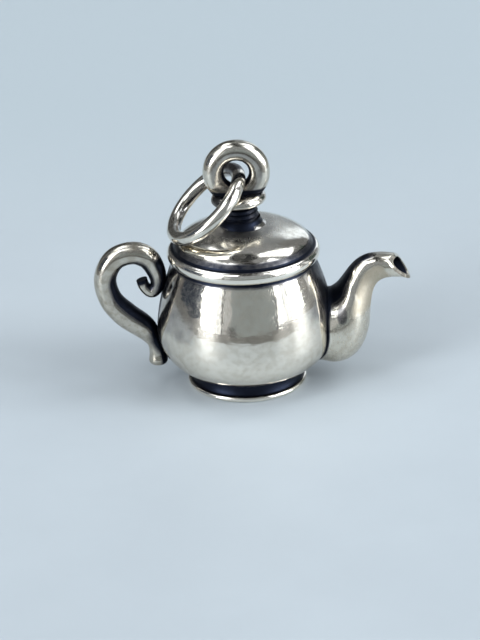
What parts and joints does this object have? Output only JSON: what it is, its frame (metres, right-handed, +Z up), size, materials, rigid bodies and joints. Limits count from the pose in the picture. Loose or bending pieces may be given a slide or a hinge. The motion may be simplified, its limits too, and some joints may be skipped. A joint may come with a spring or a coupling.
{
  "type": "teapot charm",
  "caption": "Small silver teapot charm: round hollow body on a foot ring, fixed domed lid with a hanging loop, curved spout, scroll handle and a swinging jump ring.",
  "frame": {"origin": "centre of the foot ring's underside, on the surface that the teapot stands on", "axes": "+X from the handle to the spout, +Y away from a viewer who has the spout on the right, +Z up"},
  "size_m": [0.02, 0.0112, 0.0163],
  "materials": {
    "silver": "polished",
    "oxidised_silver": "satin"
  },
  "bodies": {
    "teapot": {"body_shell": "silver", "foot_ring": "silver", "rim_bead": "silver", "lid_dome": "silver", "lid_flange": "silver", "finial_neck": "oxidised_silver", "finial_collar": "silver", "finial_pin": "silver", "hanging_loop": "silver", "spout": "silver", "handle": "silver"},
    "ring": {"jump_ring": "silver"}
  },
  "joints": [
    {"name": "jump_ring_swing", "type": "hinge", "parent": "teapot", "child": "ring", "pos_m": [-0.00027, 0, 0.01419], "axis": [0, 1, 0], "range_deg": [0, 264]}
  ]
}
